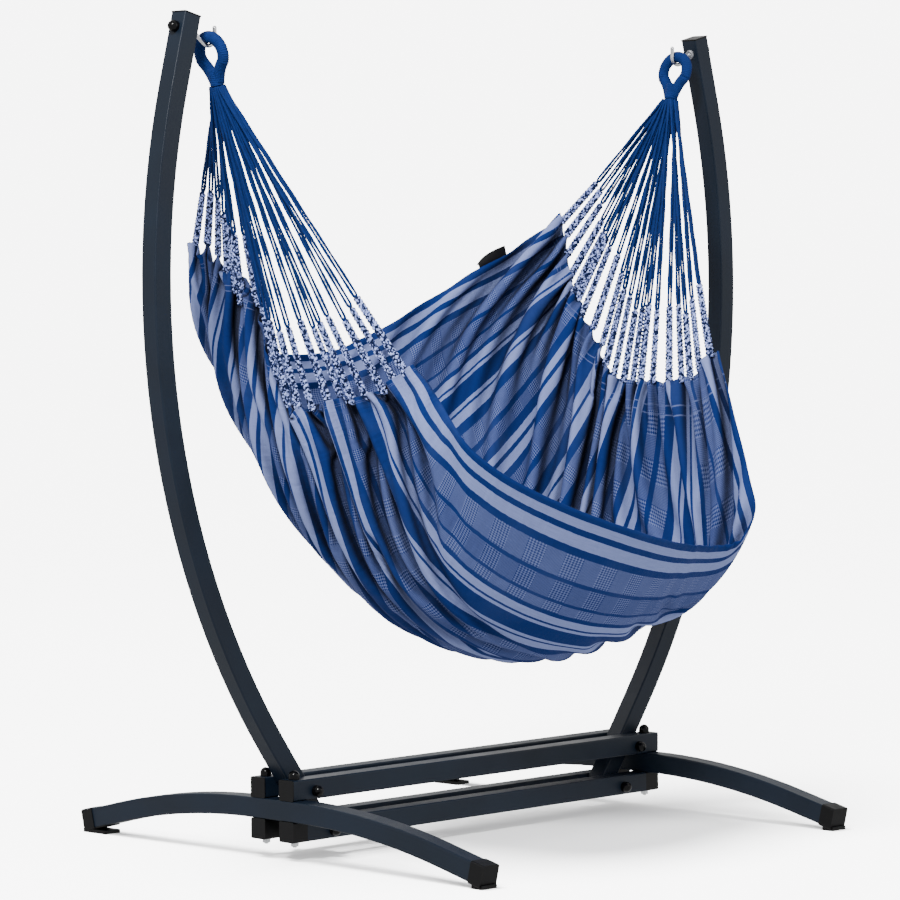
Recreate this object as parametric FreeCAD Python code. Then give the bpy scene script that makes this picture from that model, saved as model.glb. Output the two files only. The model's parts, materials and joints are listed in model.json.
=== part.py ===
"""Hammock on a stand with two C-shaped posts. Millimetres, +Z up.

X runs from post to post, -Y is the front. The origin is on the floor, midway between the posts.
The stand is square steel tube. The hammock hangs by a wrapped eye on each hook and swings about
the line through the two hooks' seats, where the inside top of each eye rests.
"""
import FreeCAD
import Part
import math
import os

from FreeCAD import Vector

# ---- square tube -------------------------------------------------------------------------------
TUBE = 50.0
WALL = 2.0
TUBE_CORNER = 4.0
HALF = TUBE / 2

# ---- base: two pairs of straight beams, with the post between front and rear beams ----------------
BEAM_HALF_LENGTH = 650.0
LOWER_BEAM_BOTTOM = 45.0
UPPER_BEAM_BOTTOM = LOWER_BEAM_BOTTOM + 2 * TUBE
UPPER_BEAM_TOP = UPPER_BEAM_BOTTOM + TUBE
BEAM_Y = TUBE
CAP_FLANGE = 3.0
PLUG_DEPTH = 22.0
PLUG_GAP = 0.2
PLUG_CORNER = 1.5
END_BLOCK = 47.0

# ---- arched cross feet, each lying between the upper and lower beams -----------------------------
FOOT_X = 625.0
FOOT_HALF_LENGTH = 700.0
FOOT_FLAT = 76.0
FOOT_RADIUS = 2100.0
FOOT_TURN = math.radians(13.5)
FOOT_AXIS_Z = LOWER_BEAM_BOTTOM + 1.5 * TUBE
SHOE_LENGTH = 36.0
SHOE_WALL = 2.6
SHOE_END = 4.0
SHOE_CORNER = 6.0
SHOE_LIP_INSET = 3.0
SHOE_SOLE = 9.0
FRONT_SHOE_LIP = 34.0
REAR_SHOE_LIP = 84.0

# ---- posts: straight foot, long arc, short straight top leaning inwards ----------------------------
POST_RADIUS = 1907.0
POST_WIDEST_X = 995.0
POST_WIDEST_Z = 1371.0
POST_TOP_LEAN = math.radians(14.3)
POST_FOOT_LEAN = math.radians(35.0)
POST_TOP_Z = 2010.0
POST_BOTTOM_Z = 62.0
POST_BOTTOM_PLUG_DEPTH = 5.0
TOP_CAP_OVERHANG = 1.0

# ---- bolts, washers, nuts and domed covers -------------------------------------------------------
BOLT_R = 5.0
HOLE_R = 5.4
HEAD_ACROSS_FLATS = 17.0
HEAD_HEIGHT = 6.4
NUT_HEIGHT = 8.4
THREAD_END = 3.0
WASHER_R = 12.0
WASHER_T = 2.5
DOME_R = 13.5
DOME_SKIRT = 8.0
DOME_WALL = 1.2
UPRIGHT_BOLT_X = 623.0
UPPER_CROSS_BOLT = (575.0, 165.0)
LOWER_CROSS_BOLT = (518.0, 65.0)

# ---- hooks ---------------------------------------------------------------------------------------
HOOK_SHANK_Z = 1975.0
HOOK_R = 5.0
HOOK_BEND_R = 20.5
HOOK_SEAT_X = 826.0
HOOK_SEAT_Z = 1960.5
HOOK_TIP_RISE = 22.0
HOOK_SHANK_OUT = 13.5
HOOK_NECK_BEND_R = 12.0

# ---- hammock -------------------------------------------------------------------------------------
EYE_R = 14.5
EYE_LOOP_R = 40.0
EYE_THROAT_Z = 1856.0
EYE_THROAT_HALF = 3.0
EYE_TILT = 14.0
COLLAR_TOP_Z = 1886.0
COLLAR_BOTTOM_Z = 1844.0
COLLAR_R = 18.5
CORD_R = 2.0
CORD_LOOP_HALF = 5.5
CORD_PAIRS = 20
CORD_COLUMNS = 7
CORD_PITCH = 4.8
CORD_GAP = 1.0
BRAID_R = 7.5
BRAID_GAP = 13.0
BRAID_LENGTH = 193.0
BRAID_UNEVENNESS = 12.0
BRAID_SHARE = 0.31
SLING_THICKNESS = 3.0
LABEL_X = 500.0
LABEL_WIDTH = 84.0
LABEL_HEIGHT = 26.0
LABEL_THICKNESS = 1.2
LABEL_GAP = 2.0

# The gathered ends of the cloth, from the rear corner to the front corner.
LEFT_END = (
    (-657, 264, 1485), (-650, 230, 1490), (-645, 190, 1480), (-630, 112, 1340),
    (-616, 48, 1335), (-600, 4, 1100), (-590, -65, 1085), (-580, -120, 1097),
    (-570, -199, 1105), (-555, -290, 1128), (-548, -350, 1170), (-541, -376, 1188),
)
RIGHT_END = (
    (657, 264, 1554), (650, 230, 1500), (640, 215, 1365), (620, 160, 1290),
    (600, 69, 1240), (598, 48, 1150), (590, -33, 1112), (575, -153, 1125),
    (560, -275, 1125), (550, -341, 1190), (541, -376, 1199),
)
# Cross sections of the hollow between the two ends, left to right, each from rear edge to front edge.
SECTIONS = (
    ((-600, 300, 1335), (-582, 222, 1165), (-562, 95, 1030), (-550, -40, 955),
     (-538, -165, 950), (-528, -300, 1000), (-520, -440, 1100)),
    ((-400, 435, 1230), (-395, 315, 1005), (-392, 172, 790), (-385, 5, 670),
     (-380, -170, 632), (-380, -360, 690), (-440, -570, 950)),
    ((0, 480, 1200), (0, 410, 940), (0, 270, 690), (0, 80, 500),
     (0, -170, 440), (0, -430, 520), (0, -630, 780)),
    ((330, 460, 1320), (330, 400, 1060), (320, 270, 790), (310, 90, 600),
     (310, -120, 512), (325, -360, 525), (330, -550, 725)),
    ((530, 360, 1440), (520, 320, 1240), (508, 210, 1010), (494, 70, 830),
     (484, -80, 720), (490, -345, 635), (492, -540, 800)),
)
SECTION_POINTS = 7
# The length of gathered end that each braid takes up, from rear to front.
LEFT_ROOM = (38, 36, 56, 60, 34, 36, 55) + (79,) * 3 + (34, 32, 52, 56, 30, 30, 52, 54, 34, 41)
RIGHT_ROOM = (42, 38, 64, 66, 32, 30, 58, 66, 58, 52, 40, 40, 32, 32, 64, 64, 32, 36, 60, 54)

X_AXIS = Vector(1, 0, 0)
Y_AXIS = Vector(0, 1, 0)
Z_AXIS = Vector(0, 0, 1)
ORIGIN = Vector(0, 0, 0)
SIDES = (("left", -1), ("right", 1))
ENDS = (("front", -1), ("rear", 1))

nodes = {}


# ---- general shapes --------------------------------------------------------------------------------
def line(a, b):
    return Part.LineSegment(a, b).toShape()


def arc(a, middle, b):
    return Part.Arc(a, middle, b).toShape()


def mirrored(shape):
    """The same shape on the other side of the YZ plane."""
    return shape.mirror(ORIGIN, X_AXIS)


def on_side(shape, sign):
    """A shape modelled at the right end, moved to the left end when sign is negative."""
    return shape if sign > 0 else mirrored(shape)


def cylinder(centre, axis, radius, length):
    return Part.makeCylinder(radius, length, centre, axis)


def rounded_square(size, corner, centre, side, up):
    """A closed square outline with round corners, centred on a point and lying along side and up."""
    half = size / 2
    flat = half - corner
    bend = half - corner * (1 - math.sqrt(0.5))

    def at(s, u):
        return centre + side * s + up * u

    edges = []
    for turn in range(4):
        c = round(math.cos(turn * math.pi / 2))
        s = round(math.sin(turn * math.pi / 2))

        def spun(a, b):
            return at(a * c - b * s, a * s + b * c)

        edges.append(line(spun(half, -flat), spun(half, flat)))
        edges.append(arc(spun(half, flat), spun(bend, bend), spun(flat, half)))
    return Part.Wire(edges)


def swept(path, outline, binormal):
    """A solid made by moving an outline along a flat path whose plane is normal to binormal."""
    pipe = Part.BRepOffsetAPI.MakePipeShell(path)
    pipe.setBiNormalMode(binormal)
    pipe.add(outline)
    pipe.build()
    pipe.makeSolid()
    return pipe.shape()


def square_bar(path, size, corner, binormal, start, along):
    side = binormal.cross(along).normalize()
    return swept(path, rounded_square(size, corner, start, side, binormal), binormal)


def hexagon(centre, axis, across_flats, height):
    axis = Vector(axis).normalize()
    side = axis.cross(Y_AXIS if abs(axis.y) < 0.9 else X_AXIS).normalize()
    up = axis.cross(side)
    radius = across_flats / math.sqrt(3)
    corners = []
    for k in range(7):
        angle = k * math.pi / 3
        corners.append(centre + side * (radius * math.cos(angle)) + up * (radius * math.sin(angle)))
    return Part.Face(Part.makePolygon(corners)).extrude(axis * height)


def washer(centre, axis):
    axis = Vector(axis).normalize()
    ring = cylinder(centre, axis, WASHER_R, WASHER_T)
    return ring.cut(cylinder(centre - axis, axis, HOLE_R, WASHER_T + 2))


def nut(centre, axis):
    axis = Vector(axis).normalize()
    body = hexagon(centre, axis, HEAD_ACROSS_FLATS, NUT_HEIGHT)
    return body.cut(cylinder(centre - axis, axis, BOLT_R + 0.05, NUT_HEIGHT + 2))


def dome(centre, axis):
    """A hollow domed cover standing on a face, with a short straight skirt."""
    axis = Vector(axis).normalize()
    inner = DOME_R - DOME_WALL

    def bullet(radius):
        skirt = cylinder(centre, axis, radius, DOME_SKIRT)
        top = Part.makeSphere(radius, centre + axis * DOME_SKIRT)
        return skirt.fuse(top)

    slab = cylinder(centre - axis * (2 * DOME_R), axis, 2 * DOME_R, 2 * DOME_R)
    return bullet(DOME_R).cut(bullet(inner)).cut(slab)


# ---- straight beams and their ends -------------------------------------------------------------------
def straight_tube(x0, x1, y, z):
    outer = rounded_square(TUBE, TUBE_CORNER, Vector(x0, y, z), Y_AXIS, Z_AXIS)
    inner = rounded_square(TUBE - 2 * WALL, TUBE_CORNER - WALL, Vector(x0, y, z), Y_AXIS, Z_AXIS)
    length = Vector(x1 - x0, 0, 0)
    return Part.Face(outer).extrude(length).cut(Part.Face(inner).extrude(length))


def square_plug(start, direction, size, corner, depth, side, up):
    return Part.Face(rounded_square(size, corner, start, side, up)).extrude(direction * depth)


def bolt_holes(shape):
    """Removes every bolt hole that crosses a beam, foot, block or post."""
    for _, sx in SIDES:
        for sy in (-1, 1):
            start = Vector(sx * UPRIGHT_BOLT_X, sy * BEAM_Y, 0)
            shape = shape.cut(cylinder(start, Z_AXIS, HOLE_R, UPPER_BEAM_TOP + TUBE))
        for x, z in (UPPER_CROSS_BOLT, LOWER_CROSS_BOLT):
            start = Vector(sx * x, -2 * TUBE, z)
            shape = shape.cut(cylinder(start, Y_AXIS, HOLE_R, 4 * TUBE))
    return shape


BEAM_LEVELS = (
    ("upper", UPPER_BEAM_BOTTOM, "end_cap", CAP_FLANGE),
    ("lower", LOWER_BEAM_BOTTOM, "end_block", END_BLOCK),
)


def make_beams():
    inner_size = TUBE - 2 * WALL - 2 * PLUG_GAP
    for place, sy in ENDS:
        y = sy * BEAM_Y
        for level, bottom, piece, end_length in BEAM_LEVELS:
            z = bottom + HALF
            reach = BEAM_HALF_LENGTH - end_length
            nodes[f"{place}_{level}_beam"] = bolt_holes(straight_tube(-reach, reach, y, z))
            for side, sx in SIDES:
                face = Vector(reach, y, z)
                flange = square_plug(face, X_AXIS, TUBE, TUBE_CORNER, end_length, Y_AXIS, Z_AXIS)
                plug = square_plug(face, -X_AXIS, inner_size, PLUG_CORNER, PLUG_DEPTH, Y_AXIS, Z_AXIS)
                end = bolt_holes(on_side(flange.fuse(plug), sx))
                nodes[f"{place}_{level}_beam_{side}_{piece}"] = end


# ---- posts -------------------------------------------------------------------------------------------
POST_ARC_CENTRE = Vector(POST_WIDEST_X - POST_RADIUS, 0, POST_WIDEST_Z)


def on_post_arc(angle):
    """A point on the post's arc, at an angle above the widest point."""
    return POST_ARC_CENTRE + Vector(math.cos(angle), 0, math.sin(angle)) * POST_RADIUS


POST_UP = Vector(-math.sin(POST_TOP_LEAN), 0, math.cos(POST_TOP_LEAN))
POST_DOWN = Vector(-math.sin(POST_FOOT_LEAN), 0, -math.cos(POST_FOOT_LEAN))
ARC_TOP = on_post_arc(POST_TOP_LEAN)
ARC_FOOT = on_post_arc(-POST_FOOT_LEAN)
POST_TOP = ARC_TOP + POST_UP * ((POST_TOP_Z - ARC_TOP.z) / POST_UP.z)
POST_BOTTOM = ARC_FOOT + POST_DOWN * ((POST_BOTTOM_Z - ARC_FOOT.z) / POST_DOWN.z)
POST_OUT = Vector(math.cos(POST_TOP_LEAN), 0, math.sin(POST_TOP_LEAN))
HOOK_HOLE = POST_TOP - POST_UP * ((POST_TOP.z - HOOK_SHANK_Z) / POST_UP.z)


def post_path():
    middle = on_post_arc((POST_TOP_LEAN - POST_FOOT_LEAN) / 2)
    return Part.Wire([line(POST_BOTTOM, ARC_FOOT), arc(ARC_FOOT, middle, ARC_TOP), line(ARC_TOP, POST_TOP)])


def make_posts():
    outer = square_bar(post_path(), TUBE, TUBE_CORNER, Y_AXIS, POST_BOTTOM, -POST_DOWN)
    inner = square_bar(post_path(), TUBE - 2 * WALL, TUBE_CORNER - WALL, Y_AXIS, POST_BOTTOM, -POST_DOWN)
    post = outer.cut(inner)
    post = post.cut(cylinder(HOOK_HOLE - POST_OUT * TUBE, POST_OUT, HOLE_R, 2 * TUBE))
    post = bolt_holes(post)

    across_top = Y_AXIS.cross(POST_UP).normalize()
    across_foot = Y_AXIS.cross(POST_DOWN).normalize()
    inner_size = TUBE - 2 * WALL - 2 * PLUG_GAP
    cap_size = TUBE + 2 * TOP_CAP_OVERHANG
    cap = square_plug(POST_TOP, POST_UP, cap_size, TUBE_CORNER, CAP_FLANGE, across_top, Y_AXIS)
    inset = square_plug(POST_TOP, -POST_UP, inner_size, PLUG_CORNER, PLUG_DEPTH, across_top, Y_AXIS)
    cap = cap.fuse(inset)
    plug = square_plug(POST_BOTTOM, POST_DOWN, TUBE, TUBE_CORNER, CAP_FLANGE, across_foot, Y_AXIS)
    depth = POST_BOTTOM_PLUG_DEPTH
    inset = square_plug(POST_BOTTOM, -POST_DOWN, inner_size, PLUG_CORNER, depth, across_foot, Y_AXIS)
    plug = plug.fuse(inset)
    for side, sx in SIDES:
        nodes[f"{side}_post"] = on_side(post, sx)
        nodes[f"{side}_post_top_cap"] = on_side(cap, sx)
        nodes[f"{side}_post_bottom_plug"] = on_side(plug, sx)


# ---- feet --------------------------------------------------------------------------------------------
def foot_point(sy, distance):
    """The foot's centre line, at a distance along Y from its middle, towards the front or the rear."""
    past_flat = max(0.0, distance - FOOT_FLAT)
    arc_reach = FOOT_RADIUS * math.sin(FOOT_TURN)
    if past_flat < arc_reach:
        drop = FOOT_RADIUS - math.sqrt(FOOT_RADIUS ** 2 - past_flat ** 2)
    else:
        drop = FOOT_RADIUS * (1 - math.cos(FOOT_TURN)) + (past_flat - arc_reach) * math.tan(FOOT_TURN)
    return Vector(FOOT_X, sy * distance, FOOT_AXIS_Z - drop)


def foot_path():
    bend = FOOT_FLAT + FOOT_RADIUS * math.sin(FOOT_TURN)
    half_bend = FOOT_FLAT + FOOT_RADIUS * math.sin(FOOT_TURN / 2)
    edges = [line(foot_point(-1, FOOT_HALF_LENGTH), foot_point(-1, bend))]
    edges.append(arc(foot_point(-1, bend), foot_point(-1, half_bend), foot_point(-1, FOOT_FLAT)))
    edges.append(line(foot_point(-1, FOOT_FLAT), foot_point(1, FOOT_FLAT)))
    edges.append(arc(foot_point(1, FOOT_FLAT), foot_point(1, half_bend), foot_point(1, bend)))
    edges.append(line(foot_point(1, bend), foot_point(1, FOOT_HALF_LENGTH)))
    return Part.Wire(edges)


def foot_bar(size, corner):
    start = foot_point(-1, FOOT_HALF_LENGTH)
    along = Vector(0, math.cos(FOOT_TURN), math.sin(FOOT_TURN))
    return square_bar(foot_path(), size, corner, X_AXIS, start, along)


def shoe(sy, lip):
    """A rubber sleeve over the foot's end with a flat-bottomed lip below, standing on the floor."""
    end = foot_point(sy, FOOT_HALF_LENGTH)
    out = Vector(0, sy * math.cos(FOOT_TURN), -math.sin(FOOT_TURN))
    up = Vector(0, sy * math.sin(FOOT_TURN), math.cos(FOOT_TURN))
    size = TUBE + 2 * SHOE_WALL
    sleeve = square_plug(end - out * SHOE_LENGTH, out, size, SHOE_CORNER, SHOE_LENGTH + SHOE_END, X_AXIS, up)
    width = size - 2 * SHOE_LIP_INSET
    reach = end.y + sy * SHOE_END
    low = Vector(FOOT_X - width / 2, min(reach, reach - sy * lip), 0)
    under_tube = Part.makeBox(width, lip, TUBE, low).common(foot_bar(size, SHOE_CORNER))
    sole = Part.makeBox(width, lip, SHOE_SOLE, low)
    body = sleeve.fuse([under_tube, sole])
    floor = Part.makeBox(4 * TUBE, 8 * TUBE, TUBE, Vector(FOOT_X - 2 * TUBE, end.y - 4 * TUBE, -TUBE))
    return body.cut(floor).cut(foot_bar(TUBE + 2 * PLUG_GAP, TUBE_CORNER)).removeSplitter()


def make_feet():
    foot = foot_bar(TUBE, TUBE_CORNER).cut(foot_bar(TUBE - 2 * WALL, TUBE_CORNER - WALL))
    foot = bolt_holes(foot)
    for side, sx in SIDES:
        nodes[f"{side}_foot"] = on_side(foot, sx)
        for place, sy in ENDS:
            lip = FRONT_SHOE_LIP if sy < 0 else REAR_SHOE_LIP
            nodes[f"{side}_foot_{place}_shoe"] = on_side(shoe(sy, lip), sx)


# ---- bolts ---------------------------------------------------------------------------------------------
def make_upright_bolts():
    washers, nuts, domes = [], [], []
    length = UPPER_BEAM_TOP - LOWER_BEAM_BOTTOM + 2 * WASHER_T + NUT_HEIGHT + THREAD_END
    for side, sx in SIDES:
        for place, sy in ENDS:
            top = Vector(sx * UPRIGHT_BOLT_X, sy * BEAM_Y, UPPER_BEAM_TOP)
            under = Vector(top.x, top.y, LOWER_BEAM_BOTTOM)
            seat = top + Z_AXIS * WASHER_T
            bolt = cylinder(seat, -Z_AXIS, BOLT_R, length)
            bolt = bolt.fuse(hexagon(seat, Z_AXIS, HEAD_ACROSS_FLATS, HEAD_HEIGHT))
            nodes[f"{side}_{place}_upright_bolt"] = bolt
            washers.append(washer(top, Z_AXIS))
            washers.append(washer(under, -Z_AXIS))
            nuts.append(nut(under - Z_AXIS * WASHER_T, -Z_AXIS))
            domes.append(dome(top, Z_AXIS))
    nodes["upright_bolt_washers"] = Part.makeCompound(washers)
    nodes["upright_bolt_nuts"] = Part.makeCompound(nuts)
    nodes["upright_bolt_dome_covers"] = Part.makeCompound(domes)


def make_cross_bolts():
    nuts, domes = [], []
    face = 1.5 * TUBE
    length = 2 * face + NUT_HEIGHT + 1
    for side, sx in SIDES:
        for level, (x, z) in (("upper", UPPER_CROSS_BOLT), ("lower", LOWER_CROSS_BOLT)):
            front = Vector(sx * x, -face, z)
            rear = Vector(sx * x, face, z)
            bolt = cylinder(front, Y_AXIS, BOLT_R, length)
            bolt = bolt.fuse(hexagon(front, -Y_AXIS, HEAD_ACROSS_FLATS, HEAD_HEIGHT))
            nodes[f"{side}_{level}_cross_bolt"] = bolt
            nuts.append(nut(rear, Y_AXIS))
            domes.append(dome(front, -Y_AXIS))
            domes.append(dome(rear, Y_AXIS))
    nodes["cross_bolt_nuts"] = Part.makeCompound(nuts)
    nodes["cross_bolt_dome_covers"] = Part.makeCompound(domes)


# ---- hooks -----------------------------------------------------------------------------------------------
def hook_route():
    """Threaded end, shank through the post, bend, sloping neck, round seat and upright tip, in XZ."""
    tail = HOOK_HOLE + POST_OUT * (HALF + WASHER_T + NUT_HEIGHT + 1)
    neck = HOOK_HOLE - POST_OUT * (HALF + HOOK_SHANK_OUT)
    seat = Vector(HOOK_SEAT_X, 0, HOOK_SEAT_Z)
    to_seat = seat - neck
    swing = math.asin(HOOK_BEND_R / to_seat.Length)
    angle = math.atan2(to_seat.z, to_seat.x) + swing
    slope = Vector(math.cos(angle), 0, math.sin(angle))
    touch = neck + slope * (to_seat.Length * math.cos(swing))
    turn = math.acos(max(-1.0, min(1.0, slope.dot(-POST_OUT))))
    trim = HOOK_NECK_BEND_R * math.tan(turn / 2)
    bend_start = neck + POST_OUT * trim
    bend_end = neck + slope * trim
    inward = (slope + POST_OUT).normalize()
    bend_centre = neck + inward * (HOOK_NECK_BEND_R / math.cos(turn / 2))
    bend_middle = bend_centre - inward * HOOK_NECK_BEND_R
    side = seat + Vector(-HOOK_BEND_R, 0, 0)
    low_angle = (math.atan2(touch.z - seat.z, touch.x - seat.x) - math.pi) / 2
    low = seat + Vector(math.cos(low_angle), 0, math.sin(low_angle)) * HOOK_BEND_R
    tip = side + Z_AXIS * HOOK_TIP_RISE
    path = [line(tail, bend_start), arc(bend_start, bend_middle, bend_end), line(bend_end, touch)]
    path += [arc(touch, low, side), line(side, tip)]
    return Part.Wire(path), tail, tip


def make_hooks():
    path, tail, tip = hook_route()
    outline = Part.Wire(Part.makeCircle(HOOK_R, tail, POST_OUT))
    hook = swept(path, outline, Y_AXIS)
    hook = hook.fuse(Part.makeSphere(HOOK_R, tip)).removeSplitter()
    outer_face = HOOK_HOLE + POST_OUT * HALF
    inner_face = HOOK_HOLE - POST_OUT * HALF
    washers = [washer(outer_face, POST_OUT), washer(inner_face, -POST_OUT)]
    nuts = [nut(outer_face + POST_OUT * WASHER_T, POST_OUT)]
    nuts.append(nut(inner_face - POST_OUT * WASHER_T, -POST_OUT))
    cover = dome(outer_face, POST_OUT)
    for side, sx in SIDES:
        nodes[f"{side}_hook"] = on_side(hook, sx)
    nodes["hook_washers"] = Part.makeCompound([on_side(w, sx) for w in washers for _, sx in SIDES])
    nodes["hook_nuts"] = Part.makeCompound([on_side(n, sx) for n in nuts for _, sx in SIDES])
    nodes["hook_dome_covers"] = Part.makeCompound([on_side(cover, sx) for _, sx in SIDES])


# ---- sling ---------------------------------------------------------------------------------------
def spaced(points, shares):
    """Points at these shares of the whole length of straight runs through the given points."""
    points = [Vector(*point) for point in points]
    runs = [(b - a).Length for a, b in zip(points, points[1:])]
    found = []
    for share in shares:
        left = share * sum(runs)
        run = 0
        while run < len(runs) - 1 and left > runs[run]:
            left -= runs[run]
            run += 1
        found.append(points[run] + (points[run + 1] - points[run]) * (left / runs[run]))
    return found


def along_end(end, room, places):
    """Points of a gathered end. Places count braids, so 0.5 is the middle of the first braid."""
    shares = []
    for place in places:
        whole = min(int(place), len(room) - 1)
        shares.append((sum(room[:whole]) + (place - whole) * room[whole]) / sum(room))
    return spaced(end, shares)


def sling_grid():
    places = [CORD_PAIRS * k / (SECTION_POINTS - 1) for k in range(SECTION_POINTS)]
    left = along_end(LEFT_END, LEFT_ROOM, places)
    right = along_end(RIGHT_END, RIGHT_ROOM, places)
    return [left] + [[Vector(*point) for point in section] for section in SECTIONS] + [right]


def surface_through(rows):
    surface = Part.BSplineSurface()
    surface.interpolate(rows)
    return surface


def make_sling():
    skin = surface_through(sling_grid()).toShape()
    nodes["sling"] = skin.makeOffsetShape(SLING_THICKNESS, 0.05, fill=True)


def make_label():
    """A blank tag sewn to the rear edge, standing a little above it and lying along it."""
    rows = sling_grid()
    edge = Part.BSplineCurve()
    edge.interpolate([row[0] for row in rows])
    at = edge.parameter(Vector(LABEL_X, rows[5][0].y, rows[5][0].z))
    along = edge.tangent(at)[0]
    up = (Z_AXIS - along * along.z).normalize()
    corner = edge.value(at) - along * (LABEL_WIDTH / 2) + up * LABEL_GAP
    outline = [corner, corner + along * LABEL_WIDTH]
    outline += [outline[1] + up * LABEL_HEIGHT, corner + up * LABEL_HEIGHT, corner]
    nodes["label_tag"] = Part.Face(Part.makePolygon(outline)).extrude(along.cross(up) * LABEL_THICKNESS)


# ---- eyes, cords and braids ------------------------------------------------------------------------
def tilted(x, y, z):
    """A point of the upright eye after the pull of the cords has tilted it inwards about its top."""
    turn = math.radians(EYE_TILT)
    reach = x - HOOK_SEAT_X
    drop = HOOK_SEAT_Z - z
    out = HOOK_SEAT_X + reach * math.cos(turn) - drop * math.sin(turn)
    return Vector(out, y, HOOK_SEAT_Z - drop * math.cos(turn) - reach * math.sin(turn))


def eye_path(x):
    """A teardrop loop in the plane across the swing axis, closing at the throat."""
    centre = Vector(x, 0, HOOK_SEAT_Z - EYE_LOOP_R)
    throat = Vector(x, EYE_THROAT_HALF, EYE_THROAT_Z)
    to_centre = centre - throat
    angle = math.atan2(to_centre.z, to_centre.y) - math.asin(EYE_LOOP_R / to_centre.Length)
    length = math.sqrt(to_centre.Length ** 2 - EYE_LOOP_R ** 2)
    touch = throat + Vector(0, math.cos(angle), math.sin(angle)) * length
    top = centre + Z_AXIS * EYE_LOOP_R
    other_touch = Vector(x, -touch.y, touch.z)
    other_throat = Vector(x, -throat.y, throat.z)
    path = Part.Wire([line(throat, touch), arc(touch, top, other_touch), line(other_touch, other_throat)])
    return path, throat, (touch - throat).normalize()


def make_eye():
    path, start, along = eye_path(HOOK_SEAT_X)
    loop = swept(path, Part.Wire(Part.makeCircle(EYE_R, start, along)), X_AXIS)
    foot = Vector(HOOK_SEAT_X, 0, COLLAR_BOTTOM_Z)
    collar = cylinder(foot, Z_AXIS, COLLAR_R, COLLAR_TOP_Z - COLLAR_BOTTOM_Z)
    eye = loop.fuse(collar)
    eye.rotate(Vector(HOOK_SEAT_X, 0, HOOK_SEAT_Z), Y_AXIS, EYE_TILT)
    for side, sx in SIDES:
        nodes[f"{side}_eye"] = on_side(eye, sx)


def braid_lines(end, room, sign):
    """For each braid: its foot on the gathered end, its top, and its direction towards the eye."""
    throat = tilted(HOOK_SEAT_X, 0, COLLAR_BOTTOM_Z)
    throat.x *= sign
    lines = []
    for k, foot in enumerate(along_end(end, room, [k + 0.5 for k in range(CORD_PAIRS)])):
        along = (throat - foot).normalize()
        length = BRAID_LENGTH + BRAID_UNEVENNESS * math.sin(2.1 * k)
        length = min(length, BRAID_SHARE * (throat - foot).Length)
        lines.append((foot + along * BRAID_GAP, foot + along * length, along))
    return lines


def cord_path(k, top, along, sign):
    """A hairpin of cord: eye, braid top, and back to the eye."""
    column = k // 3 - (CORD_COLUMNS - 1) / 2
    rank = (k % 3 - 1) * (1 if column < 1 else -1)
    across = along.cross(Y_AXIS * sign).normalize()
    tip = top + along * (CORD_R + CORD_GAP)
    starts = []
    for way in (1, -1):
        reach = HOOK_SEAT_X + (2 * rank + way * 0.5) * CORD_PITCH
        start = tilted(reach, -column * CORD_PITCH, COLLAR_BOTTOM_Z - CORD_GAP)
        starts.append(Vector(sign * start.x, start.y, start.z))
    return starts[0], tip - across * CORD_LOOP_HALF, tip + across * CORD_LOOP_HALF, starts[1]


def rounded_route(points, share=0.45):
    """Straight runs joined by tangent arcs. The path, its length and its tightest radius."""
    edges, radii = [], []
    last = points[0]
    for before, corner, after in zip(points, points[1:], points[2:]):
        back = (before - corner)
        ahead = (after - corner)
        turn = math.pi - back.getAngle(ahead)
        radius = share * min(back.Length, ahead.Length) / math.tan(turn / 2)
        trim = radius * math.tan(turn / 2)
        start = corner + back.normalize() * trim
        stop = corner + ahead.normalize() * trim
        bisector = (back + ahead).normalize()
        middle = corner + bisector * (radius / math.cos(turn / 2) - radius)
        edges.append(line(last, start))
        edges.append(arc(start, middle, stop))
        radii.append(radius)
        last = stop
    edges.append(line(last, points[-1]))
    wire = Part.Wire(edges)
    return wire, wire.Length, min(radii)


def round_bar(path, radius, start, along):
    pipe = Part.BRepOffsetAPI.MakePipeShell(path)
    pipe.setFrenetMode(False)
    pipe.add(Part.Wire(Part.makeCircle(radius, start, along)))
    pipe.build()
    pipe.makeSolid()
    return pipe.shape()


def make_cords_and_braids():
    for side, sx, end, room in (("left", -1, LEFT_END, LEFT_ROOM), ("right", 1, RIGHT_END, RIGHT_ROOM)):
        braids, cords = [], []
        for k, (foot, top, along) in enumerate(braid_lines(end, room, sx)):
            braids.append(cylinder(foot, along, BRAID_R, (top - foot).Length - CORD_R))
            points = cord_path(k, top, along, sx)
            path, length, tightest = rounded_route(points)
            cord = round_bar(path, CORD_R, points[0], (points[1] - points[0]).normalize())
            ratio = cord.Volume / (math.pi * CORD_R ** 2 * length)
            print(f"{side} cord {k}: {length:.0f} long, radius {tightest:.1f}, volume ratio {ratio:.3f}")
            cords.append(cord)
        nodes[f"{side}_braids"] = Part.makeCompound(braids)
        nodes[f"{side}_cords"] = Part.makeCompound(cords)


def main():
    make_beams()
    make_posts()
    make_feet()
    make_upright_bolts()
    make_cross_bolts()
    make_hooks()
    make_sling()
    make_label()
    make_eye()
    make_cords_and_braids()
    os.makedirs("parts", exist_ok=True)
    for name, shape in nodes.items():
        shape.exportStep(f"parts/{name}.step")
        print(f"{name}: solids {len(shape.Solids)}, valid {shape.isValid()}, volume {shape.Volume:.0f}")


main()
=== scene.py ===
"""The looks of a striped cloth hammock that hangs from a C-shaped steel stand.

Metres. X runs from post to post, -Y is the front, +Z is up, and the origin is on the floor.
"""
import json
import math

import bpy
import numpy as np
from mathutils import Matrix, Vector


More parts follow.
